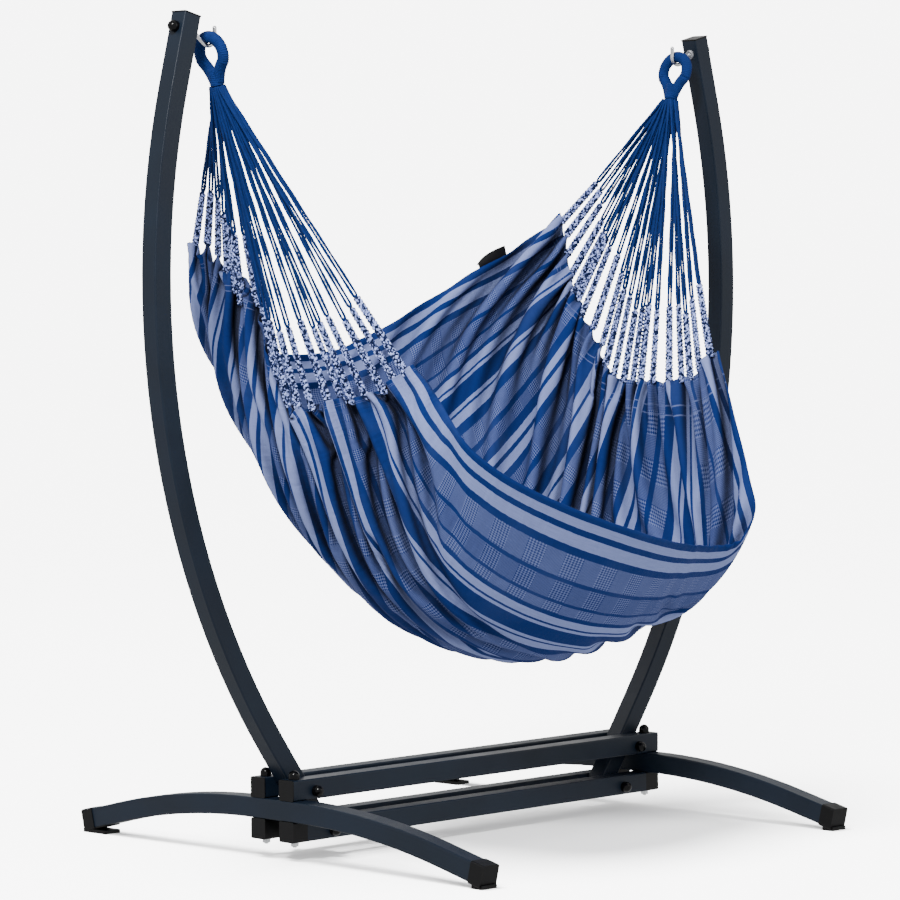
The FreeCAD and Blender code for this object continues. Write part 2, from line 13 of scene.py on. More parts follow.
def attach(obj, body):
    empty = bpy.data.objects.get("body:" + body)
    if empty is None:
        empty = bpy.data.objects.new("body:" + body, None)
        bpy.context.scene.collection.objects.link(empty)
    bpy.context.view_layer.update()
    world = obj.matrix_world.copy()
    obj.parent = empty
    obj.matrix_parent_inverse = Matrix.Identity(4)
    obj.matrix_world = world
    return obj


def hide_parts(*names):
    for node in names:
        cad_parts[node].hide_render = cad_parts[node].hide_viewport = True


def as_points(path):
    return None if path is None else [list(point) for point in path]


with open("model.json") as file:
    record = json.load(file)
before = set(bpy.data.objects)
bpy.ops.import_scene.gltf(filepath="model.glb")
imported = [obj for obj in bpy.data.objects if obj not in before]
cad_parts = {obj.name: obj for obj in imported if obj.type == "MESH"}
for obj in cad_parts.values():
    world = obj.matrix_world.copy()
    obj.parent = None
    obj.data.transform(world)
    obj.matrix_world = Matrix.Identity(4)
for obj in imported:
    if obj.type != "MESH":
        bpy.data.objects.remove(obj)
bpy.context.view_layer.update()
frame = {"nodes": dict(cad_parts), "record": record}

# ---- camera --------------------------------------------------------------------------------------
CAMERA_DISTANCE = 10.045
CAMERA_BEARING = 45.2
CAMERA_HEIGHT = 1.447
CAMERA_TURN = -0.141
CAMERA_PITCH = -2.79
CAMERA_ROLL = -0.494
LENS = 160.8
SENSOR = 36.0

# ---- studio --------------------------------------------------------------------------------------
WORLD_LIGHT = 1.05
STUDIO_RADIUS = 45.0
DOME_SIDES = 64
DOME_RINGS = 18
DOME_RING_DEGREES = 5
FLOOR_GLOW = 0.4
FLOOR_SUN = 23.0
DOME_GLOW = 7.0
# Name, place, point aimed at, diameter in metres and power in watts.
LAMPS = (
    ("key", (-5.5, -3.0, 6.0), (0, 0, 0.9), 1.8, 1000),
    ("fill", (3.5, -6.5, 3.5), (0, 0, 0.9), 3.5, 85),
    ("back", (1.0, 5.5, 5.0), (0, 0, 1.0), 3.0, 115),
)

# ---- hammock, as in the CAD model ----------------------------------------------------------------
SEAT_X = 0.826
SEAT_Z = 1.9605
EYE_TILT = math.radians(14.0)
EYE_LOOP_R = 0.040
EYE_TUBE_R = 0.0145
EYE_THROAT_Z = 1.856
EYE_THROAT_HALF = 0.003
COLLAR_TOP_Z = 1.886
COLLAR_BOTTOM_Z = 1.844
COLLAR_R = 0.0185
CORD_R = 0.0020
CORD_LOOP_HALF = 0.0055
CORD_PITCH = 0.0048
CORD_GAP = 0.001
CORD_PAIRS = 20
CORD_COLUMNS = 7
BRAID_LENGTH = 0.193
BRAID_UNEVENNESS = 0.012
BRAID_SHARE = 0.31

# The gathered ends of the cloth, from the rear corner to the front corner.
LEFT_END = (
    (-0.657, 0.264, 1.485), (-0.650, 0.230, 1.490), (-0.645, 0.190, 1.480), (-0.630, 0.112, 1.340),
    (-0.616, 0.048, 1.335), (-0.600, 0.004, 1.100), (-0.590, -0.065, 1.085), (-0.580, -0.120, 1.097),
    (-0.570, -0.199, 1.105), (-0.555, -0.290, 1.128), (-0.548, -0.350, 1.170), (-0.541, -0.376, 1.188),
)
RIGHT_END = (
    (0.657, 0.264, 1.554), (0.650, 0.230, 1.500), (0.640, 0.215, 1.365), (0.620, 0.160, 1.290),
    (0.600, 0.069, 1.240), (0.598, 0.048, 1.150), (0.590, -0.033, 1.112), (0.575, -0.153, 1.125),
    (0.560, -0.275, 1.125), (0.550, -0.341, 1.190), (0.541, -0.376, 1.199),
)
# Cross sections of the hollow between the two ends, from left to right. Each runs from the rear edge
# to the front edge.
SECTIONS = (
    ((-0.600, 0.300, 1.335), (-0.582, 0.222, 1.165), (-0.562, 0.095, 1.030), (-0.550, -0.040, 0.955),
     (-0.538, -0.165, 0.950), (-0.528, -0.300, 1.000), (-0.520, -0.440, 1.100)),
    ((-0.400, 0.435, 1.230), (-0.395, 0.315, 1.005), (-0.392, 0.172, 0.790), (-0.385, 0.005, 0.670),
     (-0.380, -0.170, 0.632), (-0.380, -0.360, 0.690), (-0.440, -0.570, 0.950)),
    ((0.000, 0.480, 1.200), (0.000, 0.410, 0.940), (0.000, 0.270, 0.690), (0.000, 0.080, 0.500),
     (0.000, -0.170, 0.440), (0.000, -0.430, 0.520), (0.000, -0.630, 0.780)),
    ((0.330, 0.460, 1.320), (0.330, 0.400, 1.060), (0.320, 0.270, 0.790), (0.310, 0.090, 0.600),
     (0.310, -0.120, 0.512), (0.325, -0.360, 0.525), (0.330, -0.550, 0.725)),
    ((0.530, 0.360, 1.440), (0.520, 0.320, 1.240), (0.508, 0.210, 1.010), (0.494, 0.070, 0.830),
     (0.484, -0.080, 0.720), (0.490, -0.345, 0.635), (0.492, -0.540, 0.800)),
)
# The share of the gathered end that each braid takes up, from rear to front.
LEFT_ROOM = (38, 36, 56, 60, 34, 36, 55) + (79,) * 3 + (34, 32, 52, 56, 30, 30, 52, 54, 34, 41)
RIGHT_ROOM = (42, 38, 64, 66, 32, 30, 58, 66, 58, 52, 40, 40, 32, 32, 64, 64, 32, 36, 60, 54)

# ---- the finer shapes of the hammock -------------------------------------------------------------
COLLAR_ROUNDING = 0.0045
WINDING_PITCH = 0.0042
COLLAR_WINDING_PITCH = 0.0046
CORD_STEP = 0.004
CORD_SIDES = 10
YARN_HALF_WIDTH = 0.0038
YARN_HALF_DEPTH = 0.0027
YARN_TWIST = 0.22
BRAID_TUCK = 0.012
BRAID_STEP = 0.0028
BRAID_HALF_WIDTH = 0.0062
BRAID_HALF_DEPTH = 0.0034
BRAID_SIDES = 7
STRAND_R = 0.0043
PLAIT_PITCH = 0.030
CLOTH_WIDTH = 1.70
CLOTH_LENGTH = 1.92
CLOTH_HALF_THICKNESS = 0.0007
HEM_HALF_THICKNESS = 0.0022
HEM_WIDTH = 0.014
LABEL_X = 0.506
LABEL_WIDTH = 0.084
LABEL_HEIGHT = 0.026
LABEL_TUCK = 0.010
LABEL_THICKNESS = 0.0012
LABEL_LEAN = math.radians(62)

# ---- how the cloth settles -----------------------------------------------------------------------
# Rows, columns and steps of each grid, from coarse to fine. Rows follow each other from left to right.
SETTLE_LEVELS = ((46, 41, 120), (91, 81, 90), (181, 161, 150))
CLOTH_ROWS = 226
CLOTH_COLUMNS = 201
ROW_TIGHTNESS = 0.996
SHEAR_STIFFNESS = 0.35
BEND_STIFFNESS = 0.12
# The pleats that the cloth starts from.
PLEAT_HEIGHT = 0.024
PLEAT_REACH = 0.30
PLEAT_UNEVENNESS = (0.6, 1.35)
# Each step keeps this share of the last one, then falls, and goes this share of the way to the target.
MOMENTUM = 0.94
HOLD = 0.30
FALL = 0.0012 * 40

# ---- colours -------------------------------------------------------------------------------------
BLUE = (0.0003, 0.0170, 0.1200)
LIGHT = (0.2180, 0.2680, 0.5350)
CORD_BLUE = (0.0004, 0.0150, 0.0980)
LABEL_BLACK = (0.0030, 0.0030, 0.0040)
STEEL = (0.62, 0.63, 0.65)
POWDER = (0.0031, 0.0072, 0.0150)
BLACK = (0.0010, 0.0010, 0.0013)


# ---- nodes of a material -------------------------------------------------------------------------
class Paint:
    """A node material that is built up by short calls."""

    def __init__(self, name, colour, roughness, metallic=0.0, **sockets):
        self.material = bpy.data.materials.new(name)
        self.material.use_nodes = True
        self.tree = self.material.node_tree
        self.shader = self.tree.nodes["Principled BSDF"]
        self.shader.inputs["Base Color"].default_value = (*colour, 1)
        self.shader.inputs["Roughness"].default_value = roughness
        self.shader.inputs["Metallic"].default_value = metallic
        for socket, value in sockets.items():
            self.shader.inputs[socket.replace("_", " ")].default_value = value

    def node(self, kind, inputs=(), **settings):
        made = self.tree.nodes.new(kind)
        for key, value in settings.items():
            setattr(made, key, value)
        for socket, value in dict(inputs).items():
            if isinstance(value, bpy.types.NodeSocket):
                self.tree.links.new(value, made.inputs[socket])
            else:
                made.inputs[socket].default_value = value
        return made

    def math(self, operation, a, b=0.0):
        return self.node("ShaderNodeMath", {0: a, 1: b}, operation=operation).outputs[0]

    def mix(self, factor, a, b):
        made = self.node("ShaderNodeMix", {"Factor": factor}, data_type="RGBA")
        first, second = made.inputs[6], made.inputs[7]
        for socket, value in ((first, a), (second, b)):
            if isinstance(value, bpy.types.NodeSocket):
                self.tree.links.new(value, socket)
            else:
                socket.default_value = (*value, 1)
        return made.outputs[2]

    def noise(self, scale, detail=2.0, roughness=0.5, vector=None):
        inputs = {"Scale": scale, "Detail": detail, "Roughness": roughness}
        inputs["Vector"] = vector or self.object_coordinates()
        return self.node("ShaderNodeTexNoise", inputs).outputs["Fac"]

    def object_coordinates(self):
        return self.node("ShaderNodeTexCoord").outputs["Object"]

    def spread(self, value, low, high, to_low=0.0, to_high=1.0):
        inputs = {"Value": value, "From Min": low, "From Max": high}
        inputs.update({"To Min": to_low, "To Max": to_high})
        return self.node("ShaderNodeMapRange", inputs).outputs[0]

    def stretched(self, vector, scale):
        inputs = {0: vector, 3: scale}
        return self.node("ShaderNodeMapping", inputs, vector_type="POINT").outputs[0]

    def with_painted_shade(self, colour, reach, darkest):
        """The colour with painted shade: darker where folds close in on it, by ambient occlusion."""
        occlusion = self.node("ShaderNodeAmbientOcclusion", {"Distance": reach}, samples=6)
        level = self.spread(occlusion.outputs["AO"], 0.30, 0.95, darkest, 1.0)
        inputs = {0: colour, "Scale": level}
        return self.node("ShaderNodeVectorMath", inputs, operation="SCALE").outputs[0]

    def colour(self, socket):
        self.tree.links.new(socket, self.shader.inputs["Base Color"])

    def roughness(self, socket):
        self.tree.links.new(socket, self.shader.inputs["Roughness"])

    def bump(self, height, distance, strength=1.0):
        made = self.node("ShaderNodeBump", {"Height": height, "Distance": distance, "Strength": strength})
        self.tree.links.new(made.outputs[0], self.shader.inputs["Normal"])


def tint(colour, factor):
    return tuple(channel * factor for channel in colour)


def powder_coat():
    paint = Paint("powder_coat", POWDER, 0.42, Specular_IOR_Level=0.20)
    patches = paint.noise(7.0, 3.0)
    grain = paint.noise(900.0, 2.0)
    patchy = paint.spread(patches, 0.35, 0.65)
    paint.colour(paint.mix(patchy, tint(POWDER, 0.9), tint(POWDER, 1.18)))
    paint.roughness(paint.spread(patches, 0.3, 0.7, 0.36, 0.5))
    paint.bump(grain, 0.0003, 0.5)
    return paint.material


def moulded_plastic(name, roughness, grain_scale):
    paint = Paint(name, BLACK, roughness, Specular_IOR_Level=0.16)
    patches = paint.noise(40.0, 3.0)
    paint.colour(paint.mix(paint.spread(patches, 0.3, 0.7), tint(BLACK, 0.8), tint(BLACK, 1.6)))
    paint.roughness(paint.spread(patches, 0.3, 0.7, roughness - 0.05, roughness + 0.07))
    paint.bump(paint.noise(grain_scale, 2.0), 0.0002, 0.5)
    return paint.material


def zinc(name, roughness):
    paint = Paint(name, STEEL, roughness, metallic=1.0)
    patches = paint.noise(120.0, 4.0, 0.6)
    paint.colour(paint.mix(paint.spread(patches, 0.3, 0.7), tint(STEEL, 0.72), tint(STEEL, 1.1)))
    paint.roughness(paint.spread(patches, 0.3, 0.7, roughness - 0.06, roughness + 0.12))
    paint.bump(paint.noise(600.0, 2.0), 0.0002, 0.3)
    return paint.material


def yarn(name, colour, dark, light):
    paint = Paint(name, colour, 0.85, Specular_IOR_Level=0.20)
    fibres = paint.noise(700.0, 3.0, 0.65)
    patches = paint.noise(60.0, 2.0)
    fine = paint.mix(paint.spread(fibres, 0.3, 0.7), tint(colour, dark), tint(colour, light))
    worn = paint.spread(patches, 0.35, 0.65, 0.0, 0.35)
    paint.colour(paint.mix(worn, fine, tint(colour, dark)))
    paint.bump(fibres, 0.0006, 0.6)
    return paint.material


# Stripes from a long edge of the cloth to its middle: width in millimetres and kind.
STRIPES = (
    (18, "blue"), (20, "light"), (15, "blue"), (27, "light"), (18, "blue"), (54, "pattern"), (10, "blue"),
    (45, "dark_pattern"), (7, "blue"), (25, "pattern"), (12, "blue"), (20, "light"), (6, "blue"),
    (9, "light"), (45, "blue"), (10, "light"), (6, "blue"), (25, "light"), (25, "blue"), (45, "pattern"),
    (15, "blue"), (30, "dark_pattern"), (24, "blue"), (18, "light"), (12, "blue"), (24, "light"),
    (20, "blue"), (50, "dark_pattern"), (14, "blue"), (34, "pattern"), (36, "blue"), (20, "light"),
    (8, "blue"), (26, "light"), (22, "blue"), (40, "pattern"), (15, "blue"),
)
STRIPE_CODES = {
    "blue": (0.0, 0.0, 0.0),
    "light": (1.0, 0.0, 0.0),
    "pattern": (0.37, 1.0, 0.0),
    "dark_pattern": (0.26, 1.0, 0.0),
}
# The weave's pattern, in millimetres.
WEAVE_BLOCKS = 78.0
DIAMOND_LENGTH = 3.2
DIAMOND_WIDTH = 2.6
RIB_PITCH = 2.6
# The pale lines across the ends, in metres.
WEFT_LINES = (0.038, 0.052)
WEFT_LINE_HALF = 0.0011


def stripe_ramp(paint, stripes, start, position):
    """A stepped ramp over these stripes. Red is the share of light yarn and green is the pattern."""
    ramp = paint.node("ShaderNodeValToRGB")
    ramp.color_ramp.interpolation = "CONSTANT"
    length = sum(width for width, _ in stripes)
    paint.tree.links.new(paint.spread(position, start, start + length), ramp.inputs[0])
    at = 0
    for k, (width, kind) in enumerate(stripes):
        stop = ramp.color_ramp.elements[0] if k == 0 else ramp.color_ramp.elements.new(at / length)
        stop.position = at / length
        stop.color = (*STRIPE_CODES[kind], 1)
        at += width
    ramp.color_ramp.elements.remove(ramp.color_ramp.elements[-1])
    return ramp.outputs[0]


def stripe_parts(paint, from_edge):
    """The share of light yarn, and whether the stripe is a patterned one, over half the width."""
    half = len(STRIPES) // 2
    split = float(sum(width for width, _ in STRIPES[:half]))
    outer = stripe_ramp(paint, STRIPES[:half], 0.0, from_edge)
    inner = stripe_ramp(paint, STRIPES[half:], split, from_edge)
    code = paint.mix(paint.math("GREATER_THAN", from_edge, split), outer, inner)
    parts = paint.node("ShaderNodeSeparateColor", {0: code}).outputs
    return parts[0], parts[1]


def weave(paint, along, wide):
    """Blocks of small diamonds and of fine ribs, taking turns along the cloth, in millimetres."""
    turns = paint.math("FRACT", paint.math("DIVIDE", along, WEAVE_BLOCKS))
    zig = paint.math("PINGPONG", paint.math("DIVIDE", along, DIAMOND_LENGTH), 1.0)
    zag = paint.math("PINGPONG", paint.math("DIVIDE", wide, DIAMOND_WIDTH), 1.0)
    diamonds = paint.math("GREATER_THAN", paint.math("ADD", zig, zag), 1.0)
    ribs = paint.math("GREATER_THAN", paint.math("FRACT", paint.math("DIVIDE", along, RIB_PITCH)), 0.5)
    soft_ribs = paint.spread(ribs, 0.0, 1.0, 0.30, 0.62)
    block = paint.math("GREATER_THAN", turns, 0.5)
    return paint.node("ShaderNodeMix", {0: block, 2: soft_ribs, 3: diamonds}).outputs[0], diamonds


def weft_lines(paint, woven, from_end):
    """Two thin pale lines across each gathered end."""
    for place in WEFT_LINES:
        off = paint.math("ABSOLUTE", paint.math("SUBTRACT", from_end, place))
        near = paint.math("LESS_THAN", off, WEFT_LINE_HALF)
        woven = paint.math("MAXIMUM", woven, paint.math("MULTIPLY", near, 0.45))
    return woven


def woven_cloth():
    """Lengthwise stripes, with blocks of diamond weave and fine rib in the patterned ones."""
    paint = Paint("woven_cloth", BLUE, 0.9, Specular_IOR_Level=0.18)
    flat = paint.node("ShaderNodeAttribute", attribute_name="cloth").outputs["Vector"]
    axes = paint.node("ShaderNodeSeparateXYZ", {0: flat}).outputs
    along = paint.math("MULTIPLY", axes["X"], 1000.0)
    wide = paint.math("MULTIPLY", axes["Y"], 1000.0)
    wobble = paint.spread(paint.noise(14.0, 2.0, vector=flat), 0.0, 1.0, -0.0012, 0.0012)
    across = paint.math("ADD", axes["Y"], wobble)
    from_edge = paint.math("MULTIPLY", paint.math("PINGPONG", across, CLOTH_WIDTH / 2), 1000.0)
    share, patterned = stripe_parts(paint, from_edge)
    pattern, diamonds = weave(paint, along, wide)
    shade = paint.math("MULTIPLY", paint.math("SUBTRACT", pattern, 0.5), 0.56)
    woven = paint.math("ADD", share, paint.math("MULTIPLY", shade, patterned))
    woven = weft_lines(paint, woven, paint.math("PINGPONG", axes["X"], CLOTH_LENGTH / 2))
    woven = paint.node("ShaderNodeClamp", {0: woven}).outputs[0]

    threads = paint.noise(1.0, 3.0, 0.7, vector=paint.stretched(flat, (25.0, 900.0, 1.0)))
    faded = paint.noise(5.0, 3.0, vector=flat)
    base = paint.mix(woven, BLUE, LIGHT)
    base = paint.mix(paint.spread(threads, 0.3, 0.7, 0.0, 0.30), base, tint(BLUE, 0.6))
    base = paint.mix(paint.spread(faded, 0.45, 0.75, 0.0, 0.07), base, LIGHT)
    # Painted shade: the woven colour is darkened by ambient occlusion where the cloth's folds close in.
    paint.colour(paint.with_painted_shade(base, 0.16, 0.08))

    raised = paint.math("MULTIPLY", paint.math("MULTIPLY", diamonds, patterned), 0.7)
    cross = paint.math("PINGPONG", paint.math("MULTIPLY", along, 0.9), 0.5)
    lift = paint.math("ADD", raised, threads)
    lift = paint.math("ADD", lift, paint.math("MULTIPLY", cross, 0.5))
    crinkles = paint.noise(1.0, 2.0, 0.5, vector=paint.stretched(flat, (70.0, 16.0, 1.0)))
    paint.bump(paint.math("ADD", lift, paint.math("MULTIPLY", crinkles, 5.0)), 0.0008, 0.7)
    return paint.material


def plait_yarn(name, white_share):
    """Strands spun from blue and white yarns, so the two show as specks."""
    paint = Paint(name, CORD_BLUE, 0.85, Specular_IOR_Level=0.20)
    specks = paint.noise(170.0, 1.0, 0.4)
    fibres = paint.noise(1500.0, 2.0)
    edge = 0.63 - 0.20 * white_share
    white = paint.spread(specks, edge - 0.03, edge + 0.03)
    paint.colour(paint.mix(white, tint(CORD_BLUE, 0.4), tint(LIGHT, 1.7)))
    paint.bump(paint.math("ADD", specks, fibres), 0.0008, 0.6)
    return paint.material


# ---- geometry helpers ----------------------------------------------------------------------------
def unit(v):
    return v / np.linalg.norm(v, axis=-1, keepdims=True)


def distances(points):
    """The distance of each point along the runs between them."""
    return np.concatenate([[0], np.cumsum(np.linalg.norm(np.diff(points, axis=0), axis=1))])


def looked_up(places, reach, points):
    """Points at these distances along a line that has its points at the distances in reach."""
    return np.stack([np.interp(places, reach, points[:, k]) for k in range(3)], -1)


def add_tube(points, faces, rings, sides):
    """Adds a capped tube to the points and faces of a mesh, and gives its number of faces."""
    base = len(points)
    points.extend(rings)
    tube = tube_faces(len(rings) // sides, sides)
    faces.extend(tuple(base + index for index in face) for face in tube)
    return len(tube)


def mesh_object(name, points, faces, material=None, smooth=True):
    mesh = bpy.data.meshes.new(name)
    mesh.from_pydata([tuple(p) for p in points], [], [tuple(f) for f in faces])
    mesh.update()
    if smooth:
        mesh.polygons.foreach_set("use_smooth", [True] * len(mesh.polygons))
    made = bpy.data.objects.new(name, mesh)
    bpy.context.scene.collection.objects.link(made)
    if material:
        mesh.materials.append(material)
    return made


def spaced(points, shares):
    """Points at these shares of the whole length of straight runs through the given points."""
    points = np.array(points, float)
    reach = distances(points)
    return looked_up(shares * reach[-1], reach, points)


def along_end(end, room, places):
    """Points of a gathered end. Places count braids, so 0.5 is the middle of the first braid."""
    shares = np.concatenate([[0], np.cumsum(room)]) / sum(room)
    return spaced(end, np.interp(places, np.arange(len(room) + 1), shares))


def through(points, count):
    """A natural cubic through evenly numbered points, along the first axis."""
    points = np.asarray(points, float)
    last = len(points) - 1
    system = np.eye(last + 1)
    load = np.zeros_like(points)
    for i in range(1, last):
        system[i, i - 1:i + 2] = (1, 4, 1)
        load[i] = 6 * (points[i - 1] - 2 * points[i] + points[i + 1])
    curve = np.linalg.solve(system, load.reshape(last + 1, -1)).reshape(points.shape)
    at = np.linspace(0, last, count)
    i = np.minimum(at.astype(int), last - 1)
    w = (at - i).reshape((-1,) + (1,) * (points.ndim - 1))
    a = 1 - w
    bend = (a ** 3 - a) * curve[i] + (w ** 3 - w) * curve[i + 1]
    return a * points[i] + w * points[i + 1] + bend / 6


def through_grid(grid, count_u, count_v):
    """A smooth surface through a grid of points."""
    along = through(grid, count_u)
    return through(along.transpose(1, 0, 2), count_v).transpose(1, 0, 2)


def tube_faces(rings, sides, capped=True):
    """Faces between rings of points, and over the first and last ring."""
    faces = []
    for i in range(rings - 1):
        for j in range(sides):
            beside = (j + 1) % sides
            a, b = i * sides + j, i * sides + beside
            c, d = (i + 1) * sides + beside, (i + 1) * sides + j
            faces.append((a, b, c, d))
    if capped:
        faces.append(tuple(range(sides))[::-1])
        faces.append(tuple((rings - 1) * sides + j for j in range(sides)))
    return faces


def swept_rings(path, radius_at, sides, side_hint):
    """Rings of points round a path. radius_at(angle, distance) may vary."""
    path = np.asarray(path, float)
    tangent = unit(np.gradient(path, axis=0))
    side = np.zeros_like(path)
    previous = np.array(side_hint, float)
    for i, t in enumerate(tangent):
        previous = previous - t * previous.dot(t)
        previous = previous / np.linalg.norm(previous)
        side[i] = previous
    up = np.cross(tangent, side)
    angle = np.linspace(0, 2 * math.pi, sides, endpoint=False)
    radius = radius_at(angle[None, :], distances(path)[:, None])
    ring = np.cos(angle)[None, :, None] * side[:, None] + np.sin(angle)[None, :, None] * up[:, None]
    return (path[:, None] + ring * radius[..., None]).reshape(-1, 3)


# ---- camera, light and floor ---------------------------------------------------------------------
def make_camera():
    bearing = math.radians(CAMERA_BEARING)
    place = Vector((-math.sin(bearing), -math.cos(bearing), 0)) * CAMERA_DISTANCE
    place.z = CAMERA_HEIGHT
    heading = math.radians(CAMERA_BEARING + CAMERA_TURN)
    pitch = math.radians(CAMERA_PITCH)
    level = math.cos(pitch)
    forward = Vector((math.sin(heading) * level, math.cos(heading) * level, math.sin(pitch)))
    right = Vector((math.cos(heading), -math.sin(heading), 0))
    up = right.cross(forward)
    roll = Matrix.Rotation(math.radians(CAMERA_ROLL), 3, -forward)
    columns = (roll @ right, roll @ up, -forward)
    data = bpy.data.cameras.new("camera")
    data.lens = LENS
    data.sensor_width = SENSOR
    data.clip_end = 200
    camera = bpy.data.objects.new("camera", data)
    camera.matrix_world = Matrix.Translation(place) @ Matrix(columns).transposed().to_4x4()
    bpy.context.scene.collection.objects.link(camera)
    bpy.context.scene.camera = camera


def area_light(name, place, aim, size, power):
    data = bpy.data.lights.new(name, "AREA")
    data.shape = "DISK"
    data.size = size
    data.energy = power
    light = bpy.data.objects.new(name, data)
    light.location = place
    light.rotation_euler = (Vector(aim) - Vector(place)).to_track_quat("-Z", "Y").to_euler()
    bpy.context.scene.collection.objects.link(light)


def glowing_paper(name, colour, glow):
    """White studio paper that also glows by itself."""
    paint = Paint(name, colour, 0.9, Emission_Color=(1, 1, 1, 1), Emission_Strength=glow)
    patches = paint.noise(0.8, 2.0)
    paint.colour(paint.mix(patches, tint(colour, 0.99), tint(colour, 1.01)))
    return paint.material


def make_world():
    world = bpy.data.worlds.new("studio")
    bpy.context.scene.world = world
    world.use_nodes = True
    background = world.node_tree.nodes["Background"]
    background.inputs["Color"].default_value = (1, 1, 1, 1)
    background.inputs["Strength"].default_value = WORLD_LIGHT


def make_floor():
    signs = ((-1, -1), (1, -1), (1, 1), (-1, 1))
    corners = [(x * STUDIO_RADIUS, y * STUDIO_RADIUS, 0) for x, y in signs]
    look = glowing_paper("floor_paper", (0.85,) * 3, FLOOR_GLOW)
    return mesh_object("floor", corners, [(0, 1, 2, 3)], look, smooth=False)


def make_dome():
    angles = np.linspace(0, 2 * math.pi, DOME_SIDES, endpoint=False)
    rim = np.stack([np.cos(angles), np.sin(angles), np.zeros(DOME_SIDES)], -1) * STUDIO_RADIUS
    rises = [math.radians(DOME_RING_DEGREES * k) for k in range(DOME_RINGS)]
    rings = [rim * math.cos(rise) + (0, 0, STUDIO_RADIUS * math.sin(rise)) for rise in rises]
    look = glowing_paper("dome_paper", (0.02,) * 3, DOME_GLOW)
    faces = tube_faces(DOME_RINGS, DOME_SIDES, capped=False)
    return mesh_object("dome", np.concatenate(rings), faces, look)


def light_floor(floor):
    """A broad sun that lights the floor alone, so that only the floor is white and holds shadows."""
    data = bpy.data.lights.new("floor_lamp", "SUN")
    data.energy = FLOOR_SUN
    data.angle = math.radians(30)
    lamp = bpy.data.objects.new("floor_lamp", data)
    lamp.rotation_euler = (math.radians(-6), math.radians(-12), 0)
    bpy.context.scene.collection.objects.link(lamp)
    lit = bpy.data.collections.new("lit_by_floor_lamp")
    lit.objects.link(floor)
    lamp.light_linking.receiver_collection = lit


def make_studio():
    """A white floor that meets a white dome. Both look bright and cast no light of their own."""
    make_world()
    for lamp in LAMPS:
        area_light(*lamp)
    floor = make_floor()
    dome = make_dome()
    light_floor(floor)
    for paper in (floor, dome):
        paper.visible_diffuse = False
        paper.visible_glossy = False
        paper.visible_shadow = False


# ---- eyes, cords and braids ----------------------------------------------------------------------
def tilted(side, x, y, z):
    """A point of an upright eye once the pull of the cords has tilted it inwards about its top."""
    reach = x - SEAT_X
    drop = SEAT_Z - z
    out = SEAT_X + reach * math.cos(EYE_TILT) - drop * math.sin(EYE_TILT)
    return np.array((side * out, y, SEAT_Z - drop * math.cos(EYE_TILT) - reach * math.sin(EYE_TILT)))


def braid_line(foot, throat, k):
    """A braid's foot on the cloth's end, its top, and its direction towards the eye."""
    along = unit(throat - foot)
    length = BRAID_LENGTH + BRAID_UNEVENNESS * math.sin(2.1 * k)
    length = min(length, BRAID_SHARE * np.linalg.norm(throat - foot))
    return foot + along * length, along


def cord_route(side, k, top, along):
    """Out of the eye, round the top of a braid and back to the eye."""
    column = k // 3 - (CORD_COLUMNS - 1) / 2
    rank = (k % 3 - 1) * (1 if column < 1 else -1)
    across = unit(np.cross(along, (0, side, 0)))
    tip = top + along * (CORD_R + CORD_GAP)
    slots = []
    for way in (1, -1):
        reach = SEAT_X + (2 * rank + way * 0.5) * CORD_PITCH
        slots.append(tilted(side, reach, -column * CORD_PITCH, COLLAR_BOTTOM_Z - CORD_GAP))
    turns = [tip - across * CORD_LOOP_HALF, tip + across * CORD_LOOP_HALF]
    straight = 12 * CORD_R
    route = [slots[0], slots[0] + unit(turns[0] - slots[0]) * straight]
    route += [turns[0] + unit(slots[0] - turns[0]) * straight, turns[0]]
    route += [turns[1], turns[1] + unit(slots[1] - turns[1]) * straight]
    route += [slots[1] + unit(turns[1] - slots[1]) * straight, slots[1]]
    return route


def followed(name, route):
    """Points along the route's own smooth line."""
    data = bpy.data.curves.new(name + "_line", "CURVE")
    data.dimensions = "3D"
    spline = data.splines.new("NURBS")
    spline.points.add(len(route) - 1)
    for point, place in zip(spline.points, route):
        point.co = (*place, 1)
    spline.order_u = 3
    spline.use_endpoint_u = True
    spline.resolution_u = 24
    line = bpy.data.objects.new(name + "_line", data)
    bpy.context.scene.collection.objects.link(line)
    mesh = bpy.data.meshes.new_from_object(line)
    points = np.array([v.co[:] for v in mesh.vertices])
    bpy.data.meshes.remove(mesh)
    bpy.data.objects.remove(line)
    bpy.data.curves.remove(data)
    return points


def evened(points, step):
    """Evenly spaced points along a line, about a step apart, and the line's length."""
    reach = distances(points)
    places = np.linspace(0, reach[-1], max(3, int(round(reach[-1] / step)) + 1))
    return looked_up(places, reach, points), reach[-1]


def make_cord(side_name, side, k, top, along, material):
    """A flat strand of loosely twisted yarn that runs from the eye round a braid and back."""
    name = f"{side_name}_cord_{k + 1:02d}"
    route = cord_route(side, k, top, along)
    path, length = evened(followed(name, route), CORD_STEP)

    def twisted(angle, reach):
        turned = angle - reach * 2 * math.pi / YARN_TWIST - k
        flat = np.hypot(np.cos(turned) / YARN_HALF_WIDTH, np.sin(turned) / YARN_HALF_DEPTH)
        return (1 + 0.08 * np.cos(6 * angle + 500 * reach)) / flat

    rings = swept_rings(path, twisted, CORD_SIDES, (1, 0.2, 0.1))
    cord = mesh_object(name, rings, tube_faces(len(path), CORD_SIDES), material)
    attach(cord, "hammock")
    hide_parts(side_name + "_cords")
    tuple(route[0])
    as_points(path)


def strand_radius(angle, reach):
    return np.full(np.broadcast(angle, reach).shape, STRAND_R)


